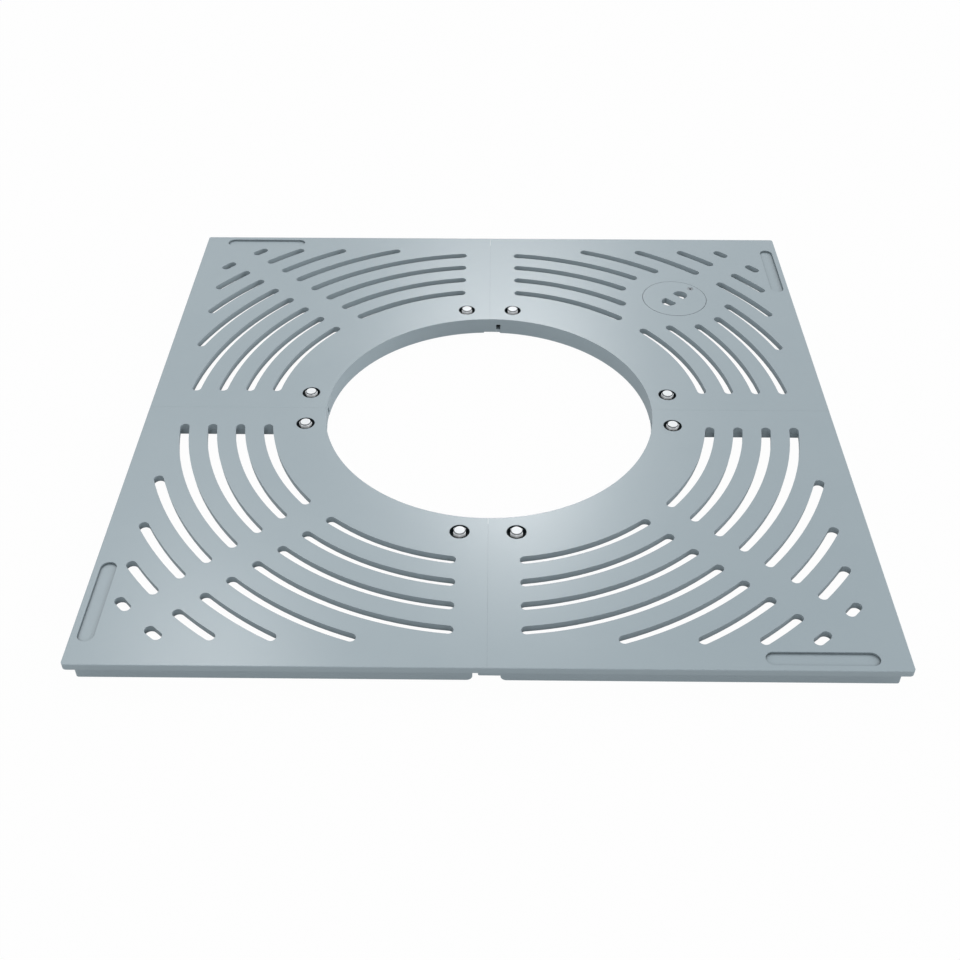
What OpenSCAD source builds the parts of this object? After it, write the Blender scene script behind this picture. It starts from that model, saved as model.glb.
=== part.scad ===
// Square tree grate in four bolted quarters, with a lift-out access lid.
// Units are millimetres. +Z is up, -Y is the front, and the origin is under the
// middle of the tree opening, level with the foot of the outer ribs.

/* [Grate] */
// Side of the whole square
side = 1500; // [1460:10:1600]
// Diameter of the tree opening
opening_d = 718; // [660:2:740]
// Thickness of the slotted plate, which is also the lap and the lid
plate_t = 15.5; // [14:0.5:16]
// Thickness of the lip round the outside
lip_t = 13; // [10:0.5:13.5]
// Overhang of the lip past the outer rib
lip_w = 14.5; // [12:0.5:20]
// Depth of the outer rib below the walking face
rib_h = 48.5; // [46:0.5:70]
// Width of the outer rib
rib_w = 13; // [10:1:16]
// Depth of the rim round the tree opening
rim_h = 39; // [36:1:45]
// Width of the rim round the tree opening
rim_w = 10; // [8:1:12]
// Width of the diagonal rib
spine_w = 13; // [8:1:18]
// Depth of the diagonal rib below the walking face
spine_h = 39; // [30:1:45]
// Radius of the rounded top edge
edge_r = 1.5; // [0.5:0.25:3]
// Plan radius of the lip's corner
lip_corner_r = 8.5; // [4:0.5:12]
// Plan radius of the outer rib's corner
rib_corner_r = 6; // [2:1:12]
// Plan radius inside the outer rib's corner
rib_inner_r = 6; // [2:1:12]

/* [Joints between the quarters] */
// Gap between neighbouring quarters
seam = 0.2; // [0.1:0.1:1]
// Thickness of the flange and the tongue under the plate
flange_t = 13; // [10:1:16]
// Distance from the seam to the far side of the flange
flange_w = 60; // [50:1:66]
// Reach of the tongue past the seam
tongue_reach = 16; // [12:1:20]
// Overhang of the lap past its own flange
lap_reach = 26; // [24:1:30]
// Distance from the seam to the outer rib beside the tongue
rib_setback = 24; // [18:1:30]
// Depth of the tongue at the outer rib
tongue_rib_h = 36; // [34:1:42]
// Radius at the foot of each outer rib's end
rib_end_r = 11; // [4:1:12]
// Radius at the foot of the tongue's end
tongue_end_r = 3; // [1:0.5:6]
// Height of the relief under the rim at a joint
relief_h = 2.5; // [1:0.5:5]
// Length of the relief on the tongue's side of the seam
relief_tongue = 14; // [8:1:20]
// Length of the relief on the lap's side of the seam
relief_lap = 25; // [20:1:30]

/* [Slots] */
// Width of each slot at its round ends
slot_w = 20; // [14:1:24]
// How much wider each side of a slot is at the plate's underside
slot_draft = 1.2; // [0:0.2:2]
// How far each side of a slot stands in from its round ends
slot_step = 0.02; // [0.01:0.01:0.1]
// Distance from the opening's edge to the first ring's middle line
first_ring = 124; // [115:1:140]
// Distance between the middle lines of neighbouring rings
ring_pitch = 60; // [50:1:70]
// Plain band between the slots and the seam
seam_band = 61; // [54:1:70]
// Plain band between the slots and the diagonal
spine_band = 30; // [20:1:40]
// Plain border between the slots and the outer edge
border = 60; // [50:1:70]
// Plain band between the slots and the lid
lid_band = 46; // [34:1:50]

/* [Joint bolts] */
// Distance from each bolt to the seam
bolt_to_seam = 56; // [50:1:60]
// Distance from each bolt to the opening's edge
bolt_to_edge = 40; // [36:1:46]
// Diameter of the bolt's shank, M16
bolt_d = 16; // [12:1:18]
// Length of the bolt's shank
bolt_l = 40; // [36:1:42]
// Width across the flats of the bolt's head
bolt_af = 24; // [22:1:26]
// Height of the bolt's head
bolt_head_h = 10; // [8:0.5:11]
// Diameter of the flat top of the bolt's head, inside its chamfer
bolt_top_d = 22; // [18:1:24]
// Clearance between the shank and its hole in the casting, all round
bolt_gap = 0.75; // [0.3:0.05:1]
// Clearance between the shank and the joint plate, all round
thread_gap = 0.1; // [0.05:0.05:0.3]
// Diameter of the recess for the bolt's head
recess_d = 40; // [38:1:44]
// Depth of the recess
recess_h = 9.5; // [8.5:0.5:10.5]
// Diameter of the boss under each recess
boss_d = 52; // [46:1:60]
// Length of the joint plate
joint_l = 156; // [150:2:180]
// Width of the joint plate
joint_w = 56; // [36:1:58]
// Thickness of the joint plate
joint_t = 12; // [10:1:14]
// Corner radius of the joint plate
joint_r = 8; // [4:1:12]

/* [Recess cups] */
// Floor of the cup, which the bolt's head presses on
cup_floor = 4; // [3:0.5:5]
// Wall of the cup
cup_wall = 2; // [1:0.5:3]
// Clearance between the cup and its recess, all round
cup_gap = 0.2; // [0.1:0.1:0.5]
// Distance from the cup's rim down from the walking face
cup_drop = 0.5; // [0.2:0.1:1.5]

/* [Lid] */
// Diameter of the lid
lid_d = 156; // [140:2:170]
// Clearance between the lid and its pocket, all round
lid_gap = 1.2; // [0.6:0.1:2]
// Distance from each seam to the lid's middle
lid_at = 458.5; // [440:0.5:480]
// Width of the ledge that the lid rests on
ledge_w = 12; // [8:1:16]
// Width of the seat ring outside the pocket
seat_w = 13; // [8:1:20]
// Radius of each lifting hole
lift_r = 18; // [15:0.5:20]
// Distance from the lid's middle to the centre of that radius
lift_at = 21.5; // [20:0.5:24]
// Half the width of the bar between the lifting holes
lift_bar = 13.5; // [10:0.5:16]
// Diameter of the lid screw's shank, M8
screw_d = 8; // [6:1:10]
// Length of the lid screw
screw_l = 25; // [20:1:25]
// Diameter of the lid screw's countersunk head
screw_head_d = 16; // [14:1:20]
// Width across the flats of the lid screw's socket
socket_af = 5; // [4:0.5:6]
// Depth of the lid screw's socket
socket_h = 3; // [2:0.5:4]
// Distance from the lid screw to the lid's edge
screw_inset = 15; // [13:0.5:20]
// Running clearance between the lid screw and the lid
screw_gap = 0.08; // [0.04:0.02:0.1]
// Clearance between the lid screw and the lug, all round
lug_gap = 0.3; // [0.2:0.1:0.5]
// Radius of the lug that takes the lid screw
lug_r = 13; // [10:1:16]
// Depth of the lid screw's head below the walking face
screw_drop = 0.2; // [0.1:0.1:0.5]

/* [Badge pockets] */
// Length of each badge pocket
badge_l = 203; // [160:1:240]
// Width of each badge pocket
badge_w = 31.5; // [20:0.5:34]
// Depth of each badge pocket
badge_h = 4.5; // [1:0.5:6]
// Distance from the pocket to the outer edge
badge_edge = 12.5; // [6:0.5:16]
// Distance from the pocket's end to the grate's corner
badge_corner = 55.5; // [40:0.5:80]

/* [Hidden] */

// Turns from the canonical quarter, which is the one at the back right
BACK = 0;
LEFT = 1;
FRONT = 2;
RIGHT = 3;

casting = [0.66, 0.71, 0.74];
zinc = [0.86, 0.87, 0.89];
black = [0.05, 0.05, 0.06];

// Overlap that makes a cut run clean through a face
cut = 1;
$fn = 96;

half = side / 2;
top_z = rib_h;
lap_z = top_z - plate_t;
flange_z = lap_z - flange_t;
rim_z = top_z - rim_h;
spine_z = top_z - spine_h;
rib_face = half - lip_w;
opening_r = opening_d / 2;
bolt_line = opening_r + bolt_to_edge;
head_z = top_z - recess_h + cup_floor;
lid_r = lid_d / 2;
pocket_r = lid_r + lid_gap;
ledge_r = lid_r - ledge_w;
seat_r = pocket_r + seat_w;
lid_line = lid_at * sqrt(2);
spine_start = opening_r + rim_w / 2;
spine_end = rib_face * sqrt(2) - rib_w;
screw_at = lid_r - screw_inset;
screw_r = screw_d / 2;
screw_head_r = screw_head_d / 2;
badge_x = half - badge_edge - badge_w / 2;
badge_y = half - badge_corner - badge_l / 2;

// Places of the round slot ends, measured to their centres
end_to_seam = seam_band + slot_w / 2;
end_to_spine = spine_band + slot_w / 2;
end_limit = half - border - slot_w / 2;
end_to_lid = lid_r + lid_band + slot_w / 2;
first_r = opening_r + first_ring;
last_r = norm([end_limit * sqrt(2) - end_to_spine, end_to_spine]);
rings = floor((last_r - first_r) / ring_pitch) + 1;

// Angle from the diagonal at which ring r comes within reach of the lid
function lid_angle(r) =
    let (c = (r * r + lid_line * lid_line - end_to_lid * end_to_lid) / (2 * r * lid_line))
    c < 1 ? acos(c) : 0;

// Half the width of a slot at height z, its sides leaning apart towards the underside
function slot_half(z) = slot_w / 2 + slot_draft * (top_z - z) / plate_t;
function ring_start(r, lidded) = 45 + max(asin(end_to_spine / r), lidded ? lid_angle(r) : 0);
function ring_end(r) = min(90 - asin(end_to_seam / r), r > end_limit ? asin(end_limit / r) : 90);

// Material to take off a straight edge that runs along X, with the solid at -Y and -Z
module round_over(length, r) {
    translate([0, -r, -r])
        rotate([90, 0, 90])
            linear_extrude(length)
                difference() {
                    square(r + cut);
                    circle(r);
                }
}

// The same, with the solid at +Y and +Z
module round_under(length, r) {
    mirror([0, 0, 1])
        mirror([0, 1, 0])
            round_over(length, r);
}

// Rectangle from a to b, with its far corner rounded
module corner_plate(a, b, r) {
    difference() {
        translate(a)
            square(b - a);
        translate(b - [r, r])
            difference() {
                square(r + cut);
                circle(r);
            }
    }
}

// A rectangle with four round corners
module rounded_rect(length, width, r) {
    square([length - 2 * r, width], center = true);
    square([length, width - 2 * r], center = true);
    for (x = [-1, 1], y = [-1, 1])
        translate([x * (length / 2 - r), y * (width / 2 - r)])
            circle(r);
}

// A bar with half-round ends, along X
module stadium(length, width) {
    square([length - width, width], center = true);
    for (x = [-1, 1])
        translate([x * (length - width) / 2, 0])
            circle(d = width);
}

// One curved slot of ring r, in the half quarter next to the Y axis
module slot(r, lidded) {
    a = ring_start(r, lidded);
    b = ring_end(r);
    depth = plate_t + 2 * cut;
    low = slot_half(lap_z - cut);
    high = slot_half(top_z + cut);
    if (b > a) {
        rotate([0, 0, a])
            rotate_extrude(angle = b - a)
                translate([r, 0])
                    polygon([
                        [slot_step - low, 0], [low - slot_step, 0],
                        [high - slot_step, depth], [slot_step - high, depth]
                    ]);
        for (t = [a, b])
            rotate([0, 0, t])
                translate([r, 0, 0])
                    cylinder(h = depth, r1 = low, r2 = high);
    }
}

module slots(lidded) {
    translate([0, 0, lap_z - cut])
        for (i = [0 : rings - 1]) {
            slot(first_r + i * ring_pitch, lidded);
            mirror([1, -1, 0])
                slot(first_r + i * ring_pitch, lidded);
        }
}

// Plate with its lip and laps
module plate() {
    translate([0, 0, lap_z])
        linear_extrude(plate_t)
            corner_plate([seam / 2, seam / 2], [half, half], lip_corner_r);
}

// What makes the lip thinner than the plate, outside the outer rib
module lip_cuts() {
    translate([0, 0, lap_z - cut])
        linear_extrude(plate_t - lip_t + cut)
            difference() {
                square(side);
                corner_plate([-cut, -cut], [rib_face, rib_face], rib_corner_r);
            }
}

// Flanges under both seams: the one along Y carries the lap, the one along X ends in the tongue
module flanges() {
    translate([lap_reach, 0, flange_z])
        cube([flange_w - lap_reach, rib_face, flange_t]);
    translate([0, -tongue_reach, flange_z])
        cube([rib_face, flange_w + tongue_reach, flange_t]);
    for (p = [[bolt_to_seam, bolt_line], [bolt_line, bolt_to_seam]])
        translate([p[0], p[1], flange_z])
            cylinder(h = flange_t, d = boss_d);
}

// Rim round the opening: the tongue carries its full depth, the lap only the lower part
module rim() {
    linear_extrude(lap_z - rim_z)
        difference() {
            intersection() {
                circle(opening_r + rim_w);
                translate([lap_reach, -tongue_reach])
                    square(side);
            }
            circle(opening_r);
        }
    linear_extrude(flange_z - rim_z)
        difference() {
            intersection() {
                circle(opening_r + rim_w);
                translate([tongue_reach + seam, 0])
                    square([lap_reach - tongue_reach, side]);
            }
            circle(opening_r);
        }
}

// Outer rib along the two outer sides, with the shallow stretch that the tongue carries
module outer_rib() {
    linear_extrude(lap_z)
        difference() {
            corner_plate([lap_reach, rib_setback], [rib_face, rib_face], rib_corner_r);
            corner_plate([0, 0], [rib_face - rib_w, rib_face - rib_w], rib_inner_r);
        }
    translate([rib_face - rib_w, -tongue_reach, top_z - tongue_rib_h])
        cube([rib_w, tongue_reach + rib_setback + rib_end_r, tongue_rib_h - plate_t]);
}

// Rounds the feet of the outer rib's two ends and of the tongue
module rib_end_cuts() {
    translate([rib_face - rib_w - cut, rib_setback, 0])
        round_under(rib_w + 2 * cut, rib_end_r);
    translate([rib_face - rib_w - cut, -tongue_reach, top_z - tongue_rib_h])
        round_under(rib_w + 2 * cut, tongue_end_r);
    translate([lap_reach, rib_face + cut, 0])
        rotate([0, 0, -90])
            round_under(rib_w + 2 * cut, rib_end_r);
}

// Diagonal rib from the rim to the outer rib, left out under the lid's seat
module spine(lidded) {
    difference() {
        rotate([0, 0, 45])
            translate([spine_start, -spine_w / 2, spine_z])
                cube([spine_end - spine_start, spine_w, lap_z - spine_z]);
        if (lidded)
            translate([lid_at, lid_at, 0])
                cylinder(h = flange_z, r = seat_r - cut);
    }
}

// Seat ring under the lid, with the lug for the lid screw
module lid_seat() {
    translate([lid_at, lid_at, flange_z]) {
        cylinder(h = flange_t, r = seat_r);
        rotate([0, 0, 45])
            translate([screw_at, 0, 0])
                cylinder(h = flange_t, r = lug_r);
    }
}

// Room for the lid, the access hole under it and the lid screw
module lid_cuts() {
    translate([lid_at, lid_at, lap_z])
        cylinder(h = plate_t + cut, r = pocket_r);
    difference() {
        translate([lid_at, lid_at, 0])
            cylinder(h = lap_z + cut, r = ledge_r);
        translate([lid_at, lid_at, flange_z])
            rotate([0, 0, 45])
                translate([screw_at, 0, 0])
                    cylinder(h = flange_t + 2 * cut, r = lug_r);
    }
    translate([lid_at, lid_at, flange_z - cut])
        rotate([0, 0, 45])
            translate([screw_at, 0, 0])
                cylinder(h = flange_t + 2 * cut, r = screw_r + lug_gap);
}

// Holes and recesses for the two bolts of a quarter
module bolt_cuts() {
    for (p = [[bolt_to_seam, bolt_line], [bolt_line, bolt_to_seam]])
        translate([p[0], p[1], 0]) {
            translate([0, 0, top_z - recess_h])
                cylinder(h = recess_h + cut, d = recess_d);
            cylinder(h = top_z, d = bolt_d + 2 * bolt_gap);
        }
}

// Shallow relief under the rim at both joints
module relief_cuts() {
    linear_extrude(rim_z + relief_h)
        intersection() {
            circle(opening_r + rim_w + cut);
            union() {
                square([relief_lap, side]);
                translate([0, -side + relief_tongue])
                    square(side);
            }
        }
}

module badge_pocket() {
    translate([badge_x, badge_y, top_z - badge_h])
        rotate([0, 0, 90])
            linear_extrude(badge_h + cut)
                stadium(badge_l, badge_w);
}

// Rounded top edges along the two outer sides
module edge_cuts() {
    translate([-cut, half, top_z])
        round_over(side, edge_r);
    translate([half, side, top_z])
        rotate([0, 0, -90])
            round_over(2 * side, edge_r);
}

// One quarter at the back right, with or without the lid's place
module quarter(lidded) {
    color(casting)
        difference() {
            union() {
                plate();
                flanges();
                translate([0, 0, rim_z])
                    rim();
                outer_rib();
                spine(lidded);
                if (lidded)
                    lid_seat();
            }
            translate([0, 0, -cut])
                cylinder(h = top_z + 2 * cut, r = opening_r);
            slots(lidded);
            lip_cuts();
            rib_end_cuts();
            bolt_cuts();
            relief_cuts();
            badge_pocket();
            edge_cuts();
            if (lidded)
                lid_cuts();
        }
}

module segment(turn) {
    rotate([0, 0, 90 * turn])
        quarter(turn == BACK);
}

// Tapped plate that ties two quarters together under their flanges
module joint_plate(turn) {
    color(zinc)
        rotate([0, 0, 90 * turn])
            translate([0, bolt_line, flange_z - joint_t])
                linear_extrude(joint_t)
                    difference() {
                        rounded_rect(joint_l, joint_w, joint_r);
                        for (x = [-1, 1])
                            translate([x * bolt_to_seam, 0])
                                circle(d = bolt_d + 2 * thread_gap);
                    }
}

// Hexagon bolt with its head's underside at the origin
module bolt() {
    corner_r = bolt_af / sqrt(3);
    top_r = bolt_top_d / 2;
    tip = bolt_d / 10;
    intersection() {
        rotate([0, 0, 30])
            cylinder(h = bolt_head_h, r = corner_r, $fn = 6);
        cylinder(h = bolt_head_h, r1 = top_r + bolt_head_h * sqrt(3), r2 = top_r);
    }
    translate([0, 0, tip - bolt_l])
        cylinder(h = bolt_l - tip, d = bolt_d);
    translate([0, 0, -bolt_l])
        cylinder(h = tip, d1 = bolt_d - 2 * tip, d2 = bolt_d);
}

module bolts(turn) {
    color(zinc)
        rotate([0, 0, 90 * turn])
            for (x = [-1, 1])
                translate([x * bolt_to_seam, bolt_line, head_z])
                    bolt();
}

// Black cup that lines a recess, under the bolt's head
module cup(turn, x) {
    outer_r = recess_d / 2 - cup_gap;
    color(black)
        rotate([0, 0, 90 * turn])
            translate([x * bolt_to_seam, bolt_line, top_z - recess_h])
                difference() {
                    cylinder(h = recess_h - cup_drop, r = outer_r);
                    translate([0, 0, cup_floor])
                        cylinder(h = recess_h, r = outer_r - cup_wall);
                    translate([0, 0, -cut])
                        cylinder(h = recess_h, d = bolt_d + 2 * bolt_gap);
                }
}

// One D-shaped lifting hole, with its straight side towards the lid's middle
module lifting_hole() {
    intersection() {
        translate([lift_at, 0])
            circle(lift_r);
        translate([lift_bar, -lid_r])
            square(lid_d);
    }
}

module lid() {
    color(casting)
        translate([lid_at, lid_at, 0])
            rotate([0, 0, 45])
                difference() {
                    translate([0, 0, lap_z])
                        cylinder(h = plate_t, r = lid_r);
                    translate([0, 0, lap_z - cut])
                        linear_extrude(plate_t + 2 * cut)
                            for (turn = [0, 180])
                                rotate(turn)
                                    lifting_hole();
                    translate([screw_at, 0, lap_z - cut])
                        cylinder(h = plate_t + 2 * cut, r = screw_r + screw_gap);
                    translate([screw_at, 0, top_z - screw_drop])
                        screw_cone(screw_gap);
                    translate([screw_at, 0, top_z - screw_drop])
                        cylinder(h = screw_drop + cut, r = screw_head_r + screw_gap);
                }
}

// Countersunk head, its top at the origin, with a clearance all round
module screw_cone(gap) {
    depth = screw_head_r - screw_r;
    translate([0, 0, -depth])
        cylinder(h = depth, r1 = screw_r + gap, r2 = screw_head_r + gap);
}

module lid_screw() {
    color(zinc)
        translate([lid_at, lid_at, top_z - screw_drop])
            rotate([0, 0, 45])
                translate([screw_at, 0, 0])
                    difference() {
                        union() {
                            screw_cone(0);
                            translate([0, 0, -screw_l])
                                cylinder(h = screw_l - (screw_head_r - screw_r), r = screw_r);
                        }
                        translate([0, 0, -socket_h])
                            cylinder(h = socket_h + cut, r = socket_af / sqrt(3), $fn = 6);
                    }
}

module back_right_segment() { segment(BACK); }
module back_left_segment() { segment(LEFT); }
module front_left_segment() { segment(FRONT); }
module front_right_segment() { segment(RIGHT); }
module back_joint_plate() { joint_plate(BACK); }
module left_joint_plate() { joint_plate(LEFT); }
module front_joint_plate() { joint_plate(FRONT); }
module right_joint_plate() { joint_plate(RIGHT); }
module back_bolts() { bolts(BACK); }
module left_bolts() { bolts(LEFT); }
module front_bolts() { bolts(FRONT); }
module right_bolts() { bolts(RIGHT); }
module back_left_cup() { cup(BACK, -1); }
module back_right_cup() { cup(BACK, 1); }
module left_front_cup() { cup(LEFT, -1); }
module left_rear_cup() { cup(LEFT, 1); }
module front_left_cup() { cup(FRONT, 1); }
module front_right_cup() { cup(FRONT, -1); }
module right_front_cup() { cup(RIGHT, 1); }
module right_rear_cup() { cup(RIGHT, -1); }

back_right_segment();
back_left_segment();
front_left_segment();
front_right_segment();
back_joint_plate();
left_joint_plate();
front_joint_plate();
right_joint_plate();
back_bolts();
left_bolts();
front_bolts();
right_bolts();
back_left_cup();
back_right_cup();
left_front_cup();
left_rear_cup();
front_left_cup();
front_right_cup();
right_front_cup();
right_rear_cup();
lid();
lid_screw();
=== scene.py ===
# Square cast tree grate of four bolted quarters with a flush lid.
# Everything is in metres. +Z is up, the front edge faces -Y, and the ribs' feet are at z = 0.

import math

import bpy
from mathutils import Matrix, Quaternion, Vector


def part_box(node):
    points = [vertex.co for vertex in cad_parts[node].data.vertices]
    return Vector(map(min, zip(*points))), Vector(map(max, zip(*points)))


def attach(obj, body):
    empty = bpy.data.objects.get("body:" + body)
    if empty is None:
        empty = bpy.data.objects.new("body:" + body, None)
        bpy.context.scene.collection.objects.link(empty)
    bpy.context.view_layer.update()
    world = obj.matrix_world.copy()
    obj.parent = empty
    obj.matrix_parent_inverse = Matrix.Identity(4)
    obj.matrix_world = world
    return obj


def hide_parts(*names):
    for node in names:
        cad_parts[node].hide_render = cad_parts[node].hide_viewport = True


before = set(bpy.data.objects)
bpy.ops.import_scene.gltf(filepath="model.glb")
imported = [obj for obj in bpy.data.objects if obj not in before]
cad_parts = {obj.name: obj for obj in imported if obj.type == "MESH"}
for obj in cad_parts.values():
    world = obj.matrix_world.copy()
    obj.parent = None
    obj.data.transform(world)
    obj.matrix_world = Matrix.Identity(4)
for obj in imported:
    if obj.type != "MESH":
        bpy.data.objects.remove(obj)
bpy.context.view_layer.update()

MM = 0.001
FULL_TURN = 2 * math.pi

# The height that people walk on, which the lid is flush with
WALKING_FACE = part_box("lid")[1].z

# Nodes of the frame that come in sets
SIDES = ["back", "left", "front", "right"]
SEGMENTS = ["back_right_segment", "back_left_segment", "front_left_segment", "front_right_segment"]
CUPS = [
    "back_left_cup", "back_right_cup", "left_front_cup", "left_rear_cup",
    "front_left_cup", "front_right_cup", "right_front_cup", "right_rear_cup",
]

# Joint bolts, M16 by 40, with a steep ring and a flat cone turned round the head's top
BOLT_FLATS = 24 * MM
BOLT_HEAD_H = 10 * MM
BOLT_TOP_D = 21.2 * MM
BOLT_RING_D = 24.4 * MM
BOLT_RING_H = 1.6 * MM
BOLT_CONE = math.radians(30)
BOLT_EDGE = 0.25 * MM
BOLT_EDGE_ANGLE = math.radians(20)
BOLT_D = 16 * MM
BOLT_L = 40 * MM
BOLT_PITCH = 2 * MM
BOLT_THREAD_L = 30 * MM
BOLT_POINT = 1.2 * MM
SHANK_UNDERSIZE = 0.1 * MM
WASHER_FACE_D = 22.5 * MM
WASHER_FACE_H = 0.5 * MM

# Lid screw, M8 countersunk with a hexagon socket
SCREW_D = 8 * MM
SCREW_HEAD_D = 16 * MM
SCREW_L = 25 * MM
SCREW_PITCH = 1.25 * MM
SCREW_EDGE = 0.2 * MM
SCREW_EDGE_ANGLE = math.radians(40)
SOCKET_FLATS = 6 * MM
SOCKET_H = 2.8 * MM

# Radius that clears a hexagon's corners, as a share of its width across the flats
CLEAR_OF_CORNERS = 0.7

# A thread's depth, and how close its turns' points have to be to be merged, as shares of its pitch
THREAD_DEPTH = 0.54
THREAD_WELD = 0.001

# How far shapes run into each other before they are joined or cut
OVERLAP = 1 * MM

# Edges flatter than this are shaded smooth
SMOOTH_ANGLE = math.radians(35)


# Small helpers for modelling

def deselect():
    bpy.ops.object.select_all(action="DESELECT")


def activate(*objects):
    """Selects these objects alone, the first one active."""
    deselect()
    for obj in objects:
        obj.select_set(True)
    bpy.context.view_layer.objects.active = objects[0]


def new_piece(name):
    """The primitive that was just added, under its own name."""
    obj = bpy.context.object
    obj.name = name
    obj.data.name = name
    return obj


def settle(obj):
    """Puts a piece's place and turn into its mesh."""
    activate(obj)
    bpy.ops.object.transform_apply(location=True, rotation=True, scale=True)
    return obj


def apply_modifiers(obj):
    activate(obj)
    for modifier in list(obj.modifiers):
        bpy.ops.object.modifier_apply(modifier=modifier.name)
    return obj


def combine(obj, other, operation):
    """Joins, cuts or intersects obj with another piece, which is used up."""
    tool = obj.modifiers.new("Combine", "BOOLEAN")
    tool.operation = operation
    tool.solver = "EXACT"
    tool.object = other
    apply_modifiers(obj)
    bpy.data.objects.remove(other)
    return obj


def bevel_edges(obj, width, angle):
    """Rounds the edges that are sharper than this angle."""
    edge = obj.modifiers.new("Edge", "BEVEL")
    edge.width = width
    edge.segments = 2
    edge.limit_method = "ANGLE"
    edge.angle_limit = angle
    return apply_modifiers(obj)


def smooth(obj):
    activate(obj)
    bpy.ops.object.shade_smooth_by_angle(angle=SMOOTH_ANGLE)
    return obj


# Fasteners

def thread(name, major, pitch, low, high, steps=32):
    """A threaded rod on the Z axis, cut off square at both ends."""
    crest = major / 2
    root = crest - THREAD_DEPTH * pitch
    profile = [
        (root, 0), (root, pitch / 4), (crest, pitch * 9 / 16), (crest, pitch * 11 / 16), (root, pitch),
    ]
    mesh = bpy.data.meshes.new(name)
    points = [(x, 0, z + low - 2 * pitch) for x, z in profile]
    mesh.from_pydata(points, [(i, i + 1) for i in range(len(points) - 1)], [])
    obj = bpy.data.objects.new(name, mesh)
    bpy.context.scene.collection.objects.link(obj)
    winding = obj.modifiers.new("Winding", "SCREW")
    winding.axis = "Z"
    winding.angle = FULL_TURN
    winding.screw_offset = pitch
    winding.iterations = math.ceil((high - low) / pitch) + 4
    winding.steps = steps
    winding.render_steps = steps
    winding.use_merge_vertices = True
    winding.merge_threshold = THREAD_WELD * pitch
    apply_modifiers(obj)
    bpy.ops.object.mode_set(mode="EDIT")
    bpy.ops.mesh.select_all(action="SELECT")
    bpy.ops.mesh.remove_doubles(threshold=THREAD_WELD * pitch)
    for z, above in ((low, False), (high, True)):
        bpy.ops.mesh.select_all(action="SELECT")
        bpy.ops.mesh.bisect(
            plane_co=(0, 0, z), plane_no=(0, 0, 1), use_fill=True,
            clear_inner=not above, clear_outer=above,
        )
    bpy.ops.mesh.select_all(action="SELECT")
    bpy.ops.mesh.normals_make_consistent(inside=False)
    bpy.ops.object.mode_set(mode="OBJECT")
    return obj


def rod(name, radius, low, high, vertices=48):
    bpy.ops.mesh.primitive_cylinder_add(
        vertices=vertices, radius=radius, depth=high - low, location=(0, 0, (low + high) / 2)
    )
    return settle(new_piece(name))


def cone(name, low_radius, high_radius, low, high):
    bpy.ops.mesh.primitive_cone_add(
        vertices=64, radius1=low_radius, radius2=high_radius, depth=high - low,
        location=(0, 0, (low + high) / 2),
    )
    return settle(new_piece(name))


def hexagon(name, flats, low, high):
    """A hexagonal bar with two corners on the Y axis."""
    bpy.ops.mesh.primitive_cylinder_add(
        vertices=6, radius=flats / math.sqrt(3), depth=high - low,
        location=(0, 0, (low + high) / 2),
    )
    return settle(new_piece(name))


def hex_bolt(name):
    """One joint bolt with its head's underside at the origin."""
    ring_z = BOLT_HEAD_H - BOLT_RING_H
    past_corners = CLEAR_OF_CORNERS * BOLT_FLATS
    slope_z = ring_z - (past_corners - BOLT_RING_D / 2) * math.tan(BOLT_CONE)
    head = hexagon(name, BOLT_FLATS, 0, BOLT_HEAD_H)
    crown = cone("crown", BOLT_RING_D / 2, BOLT_TOP_D / 2, ring_z, BOLT_HEAD_H)
    combine(crown, cone("slope", past_corners, BOLT_RING_D / 2, slope_z, ring_z), "UNION")
    combine(crown, rod("crown_body", past_corners, -OVERLAP, slope_z, 64), "UNION")
    combine(head, crown, "INTERSECT")
    bevel_edges(head, BOLT_EDGE, BOLT_EDGE_ANGLE)
    combine(head, rod("washer_face", WASHER_FACE_D / 2, -WASHER_FACE_H, OVERLAP), "UNION")
    tip = thread("tip", BOLT_D, BOLT_PITCH, -BOLT_L, BOLT_THREAD_L - BOLT_L)
    point = cone("point", BOLT_D / 2 - BOLT_POINT, BOLT_D, -BOLT_L, BOLT_D / 2 + BOLT_POINT - BOLT_L)
    combine(point, rod("point_body", BOLT_D, -BOLT_L + BOLT_D / 2, 0), "UNION")
    combine(tip, point, "INTERSECT")
    shank_r = BOLT_D / 2 - SHANK_UNDERSIZE
    combine(head, rod("shank", shank_r, BOLT_THREAD_L - BOLT_L - OVERLAP, OVERLAP), "UNION")
    combine(head, tip, "UNION")
    return smooth(head)


def bolt_pair(master, side, turn):
    """Both bolts of one joint as one piece, with the quarter turns that lead to its side."""
    low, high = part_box(side + "_bolts")
    middle = (low + high) / 2
    across = turn % 2 == 0
    reach = (high - low)[0 if across else 1] / 2 - BOLT_FLATS / 2
    pair = []
    for sign in (-1, 1):
        activate(master)
        bpy.ops.object.duplicate()
        bolt = new_piece(side + "_bolt_pair")
        bolt.rotation_euler = (0, 0, turn * FULL_TURN / 4)
        offset = Vector((sign * reach, 0, 0) if across else (0, sign * reach, 0))
        bolt.location = Vector((middle.x, middle.y, low.z + BOLT_L)) + offset
        pair.append(settle(bolt))
    activate(*pair)
    bpy.ops.object.join()
    piece = pair[0]
    piece.name = side + "_bolt_pair"
    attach(piece, "grate")
    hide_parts(side + "_bolts")
    return piece


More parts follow.
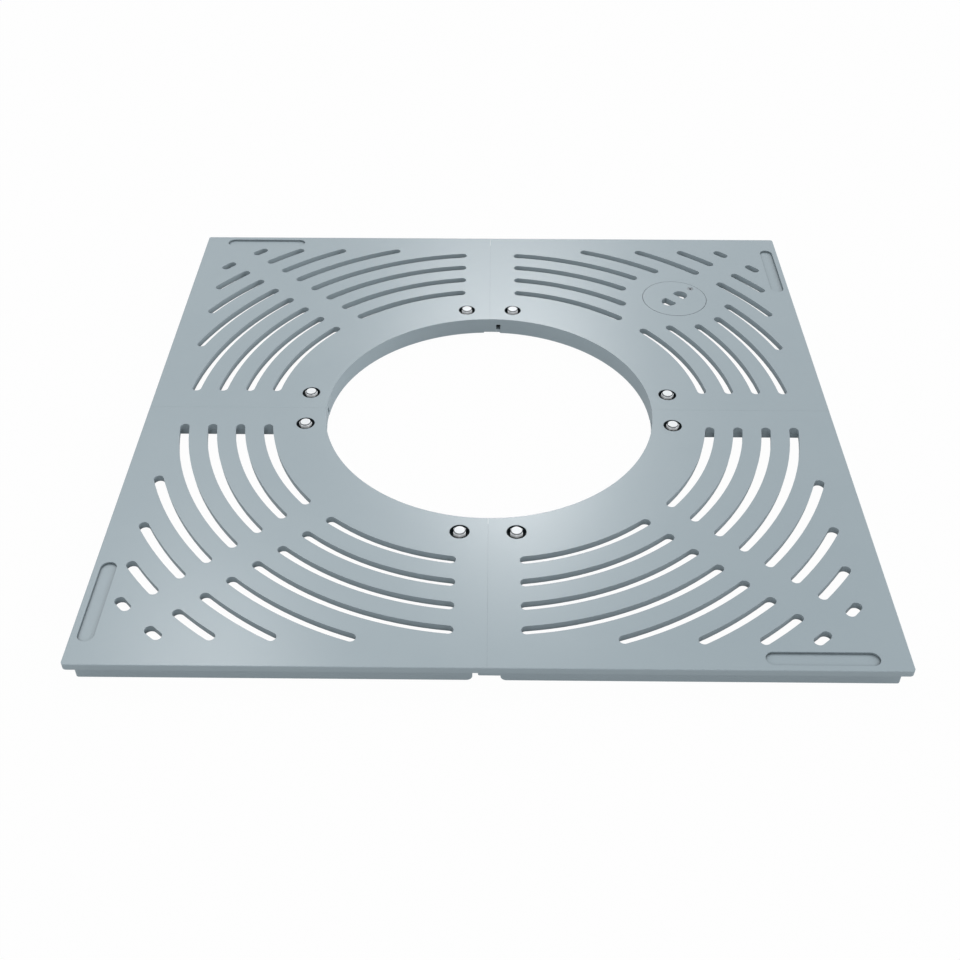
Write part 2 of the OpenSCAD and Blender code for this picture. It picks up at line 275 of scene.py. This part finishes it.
def countersunk_screw():
    """The lid screw, with its hexagon socket."""
    low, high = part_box("lid_screw")
    middle = (low + high) / 2
    head_r = SCREW_HEAD_D / 2
    depth = head_r - SCREW_D / 2
    head = cone("lid_screw_piece", SCREW_D / 2, head_r, -depth, 0)
    combine(head, hexagon("socket", SOCKET_FLATS, -SOCKET_H, OVERLAP), "DIFFERENCE")
    bevel_edges(head, SCREW_EDGE, SCREW_EDGE_ANGLE)
    shank = thread("screw_thread", SCREW_D, SCREW_PITCH, -SCREW_L, OVERLAP - depth, steps=24)
    combine(head, shank, "UNION")
    head.location = (middle.x, middle.y, high.z)
    settle(head)
    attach(head, "lid_screw")
    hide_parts("lid_screw")
    return smooth(head)


# Shader building blocks

def add_node(tree, kind, values=None, **settings):
    """A node with its settings, and its inputs set by name or number."""
    node = tree.nodes.new(kind)
    for key, value in settings.items():
        setattr(node, key, value)
    for key, value in (values or {}).items():
        node.inputs[key].default_value = value
    return node


def new_group(name, inputs, outputs):
    """An empty node group with named sockets, and its two end nodes."""
    tree = bpy.data.node_groups.new(name, "ShaderNodeTree")
    for way, sockets in (("INPUT", inputs), ("OUTPUT", outputs)):
        for key, kind in sockets:
            tree.interface.new_socket(key, in_out=way, socket_type="NodeSocket" + kind)
    return tree, add_node(tree, "NodeGroupInput"), add_node(tree, "NodeGroupOutput")


def grain_group():
    """Skin of a casting or moulding: fine pebble over slow waves, as a height from 0 to 1."""
    tree, given, made = new_group(
        "Skin",
        [("Vector", "Vector"), ("Pebbles", "Float"), ("Waves", "Float"), ("Wave share", "Float")],
        [("Height", "Float")],
    )
    pebble = add_node(tree, "ShaderNodeTexNoise", {"Detail": 3.0, "Roughness": 0.55})
    wave = add_node(tree, "ShaderNodeTexNoise", {"Detail": 2.0, "Roughness": 0.5})
    blend = add_node(tree, "ShaderNodeMix", data_type="FLOAT")
    link = tree.links.new
    link(given.outputs["Vector"], pebble.inputs["Vector"])
    link(given.outputs["Vector"], wave.inputs["Vector"])
    link(given.outputs["Pebbles"], pebble.inputs["Scale"])
    link(given.outputs["Waves"], wave.inputs["Scale"])
    link(given.outputs["Wave share"], blend.inputs["Factor"])
    link(pebble.outputs["Fac"], blend.inputs["A"])
    link(wave.outputs["Fac"], blend.inputs["B"])
    link(blend.outputs["Result"], made.inputs["Height"])
    return tree


def tone_group():
    """A colour with soft clouds and fine specks of a second one."""
    tree, given, made = new_group(
        "Tone",
        [("Vector", "Vector"), ("Colour", "Color"), ("Cloud colour", "Color"),
         ("Cloud size", "Float"), ("Clouds", "Float"), ("Speck size", "Float"), ("Specks", "Float")],
        [("Colour", "Color"), ("Mask", "Float")],
    )
    cloud = add_node(tree, "ShaderNodeTexNoise", {"Detail": 4.0, "Roughness": 0.6})
    speck = add_node(tree, "ShaderNodeTexNoise", {"Detail": 2.0, "Roughness": 0.7})
    cloud_range = add_node(tree, "ShaderNodeMapRange", {"From Min": 0.3, "From Max": 0.7})
    speck_range = add_node(tree, "ShaderNodeMapRange", {"From Min": 0.35, "From Max": 0.65})
    cloud_share = add_node(tree, "ShaderNodeMath", operation="MULTIPLY")
    speck_share = add_node(tree, "ShaderNodeMath", operation="MULTIPLY")
    total = add_node(tree, "ShaderNodeMath", operation="ADD", use_clamp=True)
    blend = add_node(tree, "ShaderNodeMix", data_type="RGBA")
    link = tree.links.new
    link(given.outputs["Vector"], cloud.inputs["Vector"])
    link(given.outputs["Vector"], speck.inputs["Vector"])
    link(given.outputs["Cloud size"], cloud.inputs["Scale"])
    link(given.outputs["Speck size"], speck.inputs["Scale"])
    link(cloud.outputs["Fac"], cloud_range.inputs["Value"])
    link(speck.outputs["Fac"], speck_range.inputs["Value"])
    link(cloud_range.outputs["Result"], cloud_share.inputs[0])
    link(given.outputs["Clouds"], cloud_share.inputs[1])
    link(speck_range.outputs["Result"], speck_share.inputs[0])
    link(given.outputs["Specks"], speck_share.inputs[1])
    link(cloud_share.outputs["Value"], total.inputs[0])
    link(speck_share.outputs["Value"], total.inputs[1])
    link(total.outputs["Value"], blend.inputs["Factor"])
    link(given.outputs["Colour"], blend.inputs["A"])
    link(given.outputs["Cloud colour"], blend.inputs["B"])
    link(blend.outputs["Result"], made.inputs["Colour"])
    link(total.outputs["Value"], made.inputs["Mask"])
    return tree


SKIN = grain_group()
TONE = tone_group()


def new_material(name):
    """A material with an empty Principled BSDF, and the object's own coordinates."""
    material = bpy.data.materials.new(name)
    material.use_nodes = True
    tree = material.node_tree
    shader = tree.nodes["Principled BSDF"]
    place = add_node(tree, "ShaderNodeTexCoord")
    shift = add_node(tree, "ShaderNodeMapping")
    tree.links.new(place.outputs["Object"], shift.inputs["Vector"])
    return material, tree, shader, shift


def use_group(tree, group, vector, **values):
    """A group's node, with a value for each of its other sockets."""
    node = add_node(tree, "ShaderNodeGroup", node_tree=group)
    tree.links.new(vector, node.inputs["Vector"])
    for key, value in values.items():
        node.inputs[key.replace("_", " ")].default_value = value
    return node


def surface(name, colour, cloud, roughness, roughness_spread, bump, tone, skin, specular=0.5,
            offset=0.0):
    """A finish made of the shared tone and skin, with its roughness following the tone."""
    material, tree, shader, shift = new_material(name)
    shift.inputs["Location"].default_value = (offset, offset / 2, 0)
    vector = shift.outputs["Vector"]
    tones = use_group(tree, TONE, vector, Colour=(*colour, 1), Cloud_colour=(*cloud, 1), **tone)
    skins = use_group(tree, SKIN, vector, **skin)
    rough = add_node(tree, "ShaderNodeMapRange", {
        "To Min": roughness - roughness_spread, "To Max": roughness + roughness_spread,
    })
    relief = add_node(tree, "ShaderNodeBump", {"Strength": 1.0, "Distance": bump})
    link = tree.links.new
    link(tones.outputs["Colour"], shader.inputs["Base Color"])
    link(tones.outputs["Mask"], rough.inputs["Value"])
    link(rough.outputs["Result"], shader.inputs["Roughness"])
    link(skins.outputs["Height"], relief.inputs["Height"])
    link(relief.outputs["Normal"], shader.inputs["Normal"])
    shader.inputs["Specular IOR Level"].default_value = specular
    return material


# Painted shade in narrow places, darkening the base colour: its reach, the share of the colour that is
# left where they are as good as closed, and the shares of open space round a point that count as closed
# and as clear
PAINT_CREASE_SHADE = (5 * MM, 0.08, 0.25, 0.9)
SLOT_SHADE = (25 * MM, 0.6, 0.2, 0.75)
SCREW_CREASE_SHADE = (5 * MM, 0.04, 0.6, 0.97)


def paint_shade_in_creases(material, reach, level, closed, clear, alone=False):
    """Paints shade into a finish's colour where faces are near: any piece's, or with alone only the
    piece's own.
    """
    tree = material.node_tree
    shader = tree.nodes["Principled BSDF"]
    colour = shader.inputs["Base Color"].links[0].from_socket
    crease = add_node(
        tree, "ShaderNodeAmbientOcclusion", {"Distance": reach}, samples=4, only_local=alone,
    )
    depth = add_node(tree, "ShaderNodeMapRange", {"From Min": closed, "From Max": clear, "To Min": level})
    # The painted shade multiplies the base colour
    shade = add_node(tree, "ShaderNodeMix", {"Factor": 1.0}, data_type="RGBA", blend_type="MULTIPLY")
    link = tree.links.new
    link(crease.outputs["AO"], depth.inputs["Value"])
    link(colour, shade.inputs["A"])
    link(depth.outputs["Result"], shade.inputs["B"])
    link(shade.outputs["Result"], shader.inputs["Base Color"])
    return material


# Upward share of a face's direction: a side up to the first value, and a top from the second one on
SIDE_SLOPE = 0.6
TOP_SLOPE = 0.95


def roughen_sides(material, level):
    """Makes a casting's upright and lower faces as rough as level says, and leaves its top alone."""
    tree = material.node_tree
    shader = tree.nodes["Principled BSDF"]
    top = shader.inputs["Roughness"].links[0].from_socket
    place = add_node(tree, "ShaderNodeTexCoord")
    parts = add_node(tree, "ShaderNodeSeparateXYZ")
    side = add_node(tree, "ShaderNodeMapRange", {
        "From Min": SIDE_SLOPE, "From Max": TOP_SLOPE, "To Min": level, "To Max": 0.0,
    })
    both = add_node(tree, "ShaderNodeMath", operation="MAXIMUM")
    link = tree.links.new
    link(place.outputs["Normal"], parts.inputs["Vector"])
    link(parts.outputs["Z"], side.inputs["Value"])
    link(top, both.inputs[0])
    link(side.outputs["Result"], both.inputs[1])
    link(both.outputs["Value"], shader.inputs["Roughness"])
    return material


PAINT = (0.305, 0.372, 0.410)
PAINT_CLOUD = (0.318, 0.384, 0.420)
SIDE_ROUGHNESS = 0.65


def painted_casting(name, offset, alone):
    """Satin pale blue-grey paint over a fine cast skin, duller on the sides, with painted shade darkening
    its colour in creases and down in the slots.
    """
    paint = surface(
        name, PAINT, PAINT_CLOUD, roughness=0.25, roughness_spread=0.015, bump=0.04 * MM, offset=offset,
        tone={"Cloud_size": 7.0, "Clouds": 0.6, "Speck_size": 600.0, "Specks": 0.3},
        skin={"Pebbles": 380.0, "Waves": 45.0, "Wave_share": 0.35},
    )
    # Painted shade: the colour darkens in gaps and inner corners, and down the slot walls
    paint_shade_in_creases(paint, *PAINT_CREASE_SHADE, alone)
    paint_shade_in_creases(paint, *SLOT_SHADE, alone=True)
    return roughen_sides(paint, SIDE_ROUGHNESS)


def galvanised():
    """Dull zinc with the flat crystals of a hot dip."""
    material, tree, shader, shift = new_material("galvanised steel")
    vector = shift.outputs["Vector"]
    spangle = add_node(tree, "ShaderNodeTexVoronoi", {"Scale": 110.0, "Randomness": 1.0})
    shade = add_node(tree, "ShaderNodeSeparateColor")
    skins = use_group(tree, SKIN, vector, Pebbles=700.0, Waves=90.0, Wave_share=0.5)
    colour = add_node(tree, "ShaderNodeMix", data_type="RGBA")
    colour.inputs["A"].default_value = (0.42, 0.44, 0.46, 1)
    colour.inputs["B"].default_value = (0.60, 0.62, 0.64, 1)
    rough = add_node(tree, "ShaderNodeMapRange", {"To Min": 0.32, "To Max": 0.52})
    relief = add_node(tree, "ShaderNodeBump", {"Strength": 1.0, "Distance": 0.06 * MM})
    link = tree.links.new
    link(vector, spangle.inputs["Vector"])
    link(spangle.outputs["Color"], shade.inputs["Color"])
    link(shade.outputs["Red"], colour.inputs["Factor"])
    link(colour.outputs["Result"], shader.inputs["Base Color"])
    link(shade.outputs["Green"], rough.inputs["Value"])
    link(rough.outputs["Result"], shader.inputs["Roughness"])
    link(skins.outputs["Height"], relief.inputs["Height"])
    link(relief.outputs["Normal"], shader.inputs["Normal"])
    shader.inputs["Metallic"].default_value = 1.0
    return material


def zinc(name, level):
    """Zinc plating, as light as level says."""
    return surface(
        name, (0.97 * level, level, 1.02 * level), (0.91 * level, 0.95 * level, 0.98 * level),
        roughness=0.3, roughness_spread=0.05, bump=0.01 * MM, specular=0.26,
        tone={"Cloud_size": 160.0, "Clouds": 0.5, "Speck_size": 1500.0, "Specks": 0.4},
        skin={"Pebbles": 1800.0, "Waves": 300.0, "Wave_share": 0.4},
    )


def painted_dark_ring():
    """The chamfer round the top of each bolt's head, near black as a painted dark reflection."""
    return surface(
        "painted dark reflection ring", (0.09, 0.10, 0.11), (0.12, 0.13, 0.14), roughness=0.45, roughness_spread=0.05,
        bump=0.01 * MM, specular=0.2,
        tone={"Cloud_size": 200.0, "Clouds": 0.5, "Speck_size": 2000.0, "Specks": 0.4},
        skin={"Pebbles": 2400.0, "Waves": 300.0, "Wave_share": 0.4},
    )


def stainless():
    """Weathered stainless steel, as dull as the lid round it, with painted shade in its socket and where
    it meets the lid.
    """
    steel = surface(
        "stainless", (0.30, 0.34, 0.37), (0.26, 0.30, 0.33), roughness=0.3, roughness_spread=0.05,
        bump=0.01 * MM, specular=0.2,
        tone={"Cloud_size": 250.0, "Clouds": 0.5, "Speck_size": 2500.0, "Specks": 0.4},
        skin={"Pebbles": 2500.0, "Waves": 500.0, "Wave_share": 0.4},
    )
    # Painted shade darkens the socket and the edge against the lid
    return paint_shade_in_creases(steel, *SCREW_CREASE_SHADE)


def near_black_cup_finish():
    """Near-black matt finish with little gloss, for the cups round the bolts."""
    return surface(
        "near black cup finish", (0.002, 0.005, 0.007), (0.004, 0.008, 0.010), roughness=0.5,
        roughness_spread=0.08, bump=0.03 * MM, specular=0.04,
        tone={"Cloud_size": 90.0, "Clouds": 0.5, "Speck_size": 1800.0, "Specks": 0.4},
        skin={"Pebbles": 2200.0, "Waves": 400.0, "Wave_share": 0.2},
    )


def dress(obj, material):
    """Gives the whole of a piece or a node one material."""
    if not obj.material_slots:
        obj.data.materials.append(material)
    for slot in obj.material_slots:
        slot.material = material


def dress_bolt(bolt, top, ring, flank):
    """Gives a bolt's top, the steep ring round it and all the rest a material each."""
    for material in (top, ring, flank):
        bolt.data.materials.append(material)
    for face in bolt.data.polygons:
        if face.center.z < BOLT_HEAD_H - BOLT_RING_H:
            face.material_index = 2
        elif face.normal.z < TOP_SLOPE:
            face.material_index = 1


# Room

FLOOR_SIZE = 60.0
FLOOR_GAP = 0.2 * MM
FLOOR_GREY = 0.5

# Share of plain white in the floor that is seen, over a lit grey one with the object's shadow
CLEAN_SHARE = 0.98

# Strength of the sky's light, against 1 for what is seen of it
SKY_LEVEL = 0.44


def seen_or_reflected(tree):
    """1 for rays from the camera, from gloss or through glass, and 0 for light that lands."""
    path = add_node(tree, "ShaderNodeLightPath")
    first = add_node(tree, "ShaderNodeMath", operation="MAXIMUM")
    second = add_node(tree, "ShaderNodeMath", operation="MAXIMUM")
    tree.links.new(path.outputs["Is Camera Ray"], first.inputs[0])
    tree.links.new(path.outputs["Is Glossy Ray"], first.inputs[1])
    tree.links.new(first.outputs["Value"], second.inputs[0])
    tree.links.new(path.outputs["Is Transmission Ray"], second.inputs[1])
    return second.outputs["Value"]


def floor_material():
    """White to the eye with a trace of the object's shadow, grey to the light, clear from below."""
    material = bpy.data.materials.new("floor")
    material.use_nodes = True
    tree = material.node_tree
    tree.nodes.clear()
    matt = add_node(tree, "ShaderNodeBsdfDiffuse", {"Color": (FLOOR_GREY, FLOOR_GREY, FLOOR_GREY, 1)})
    glow = add_node(tree, "ShaderNodeEmission", {"Color": (1, 1, 1, 1), "Strength": 1.0})
    clear = add_node(tree, "ShaderNodeBsdfTransparent")
    share = add_node(tree, "ShaderNodeMath", {1: CLEAN_SHARE}, operation="MULTIPLY")
    side = add_node(tree, "ShaderNodeNewGeometry")
    white = add_node(tree, "ShaderNodeMixShader")
    both = add_node(tree, "ShaderNodeMixShader")
    out = add_node(tree, "ShaderNodeOutputMaterial")
    link = tree.links.new
    link(seen_or_reflected(tree), share.inputs[0])
    link(share.outputs["Value"], white.inputs[0])
    link(matt.outputs["BSDF"], white.inputs[1])
    link(glow.outputs["Emission"], white.inputs[2])
    link(side.outputs["Backfacing"], both.inputs[0])
    link(white.outputs["Shader"], both.inputs[1])
    link(clear.outputs["BSDF"], both.inputs[2])
    link(both.outputs["Shader"], out.inputs["Surface"])
    return material


def floor():
    deselect()
    bpy.ops.mesh.primitive_plane_add(size=FLOOR_SIZE, location=(0, 0, -FLOOR_GAP))
    plane = settle(new_piece("floor"))
    dress(plane, floor_material())


def sky():
    """White to the eye, and a soft even light on the object."""
    world = bpy.data.worlds.new("studio")
    bpy.context.scene.world = world
    world.use_nodes = True
    tree = world.node_tree
    background = tree.nodes["Background"]
    background.inputs["Color"].default_value = (1, 1, 1, 1)
    level = add_node(tree, "ShaderNodeMapRange", {"To Min": SKY_LEVEL, "To Max": 1.0})
    tree.links.new(seen_or_reflected(tree), level.inputs["Value"])
    tree.links.new(level.outputs["Result"], background.inputs["Strength"])


# Lamps: name, compass angle from +Y towards +X and height angle in degrees, distance, size, radiance
LAMPS = [
    ("front", 180.0, 31.0, 9.0, (5.4, 3.6), 3.5),
    ("left", -78.0, 32.0, 5.5, (3.3, 2.75), 2.4),
    ("right", 72.0, 23.0, 12.0, (7.2, 6.0), 5.6),
    ("back_spot", 2.2, 41.3, 20.0, (1.05, 1.05), 50.0),
    ("back_glow", 0.6, 36.3, 20.0, (3.0, 4.05), 6.6),
    ("left_spot", -21.8, 50.0, 20.0, (2.3, 3.0), 10.8),
]


def softbox(name, azimuth, elevation, distance, size, radiance):
    """A rectangular lamp that faces the middle of the walking face."""
    azimuth, elevation = math.radians(azimuth), math.radians(elevation)
    flat = math.cos(elevation)
    towards = Vector((flat * math.sin(azimuth), flat * math.cos(azimuth), math.sin(elevation)))
    deselect()
    bpy.ops.object.light_add(
        type="AREA", location=Vector((0, 0, WALKING_FACE)) + distance * towards,
        rotation=(-towards).to_track_quat("-Z", "Y").to_euler(),
    )
    lamp = bpy.context.object
    lamp.name = name
    lamp.data.shape = "RECTANGLE"
    lamp.data.size, lamp.data.size_y = size
    lamp.data.energy = radiance * math.pi * size[0] * size[1]
    lamp.visible_camera = False


def lamps():
    for lamp in LAMPS:
        softbox(*lamp)


# Camera, as solved from the photograph

FOCAL_MM = 46.655
SENSOR_MM = 36.0
CAMERA_AT = Vector((0.001943, -2.192218, WALKING_FACE + 1.663408))
CAMERA_AIM = Vector((-0.01744, -0.24261, WALKING_FACE))
CAMERA_ROLL = math.radians(0.0317)


def camera():
    turn = (CAMERA_AIM - CAMERA_AT).to_track_quat("-Z", "Y") @ Quaternion((0, 0, 1), CAMERA_ROLL)
    bpy.ops.object.camera_add(location=CAMERA_AT, rotation=turn.to_euler())
    view = bpy.context.object
    view.data.lens = FOCAL_MM
    view.data.sensor_width = SENSOR_MM
    view.data.sensor_fit = "HORIZONTAL"
    bpy.context.scene.camera = view


# The whole scene

camera()
floor()
sky()
lamps()
bpy.context.scene.view_settings.view_transform = "Standard"

segment_paint = painted_casting("painted casting", 0.0, alone=True)
# The lid's painted shade also counts the segments round it, which darkens the gap round the lid
lid_paint = painted_casting("painted lid", 3.7, alone=False)
for name in SEGMENTS:
    dress(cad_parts[name], segment_paint)
dress(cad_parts["lid"], lid_paint)

plate_zinc = galvanised()
for side in SIDES:
    dress(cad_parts[side + "_joint_plate"], plate_zinc)

cup_black = near_black_cup_finish()
for name in CUPS:
    dress(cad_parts[name], cup_black)

bolt_master = hex_bolt("bolt_master")
# The sides and shank get a slightly darker copy of the top's zinc, as painted shade
dress_bolt(bolt_master, zinc("bright zinc", 0.87), painted_dark_ring(), zinc("zinc with painted shade", 0.84))
for turn, side in enumerate(SIDES):
    bolt_pair(bolt_master, side, turn)
bpy.data.objects.remove(bolt_master)
dress(countersunk_screw(), stainless())
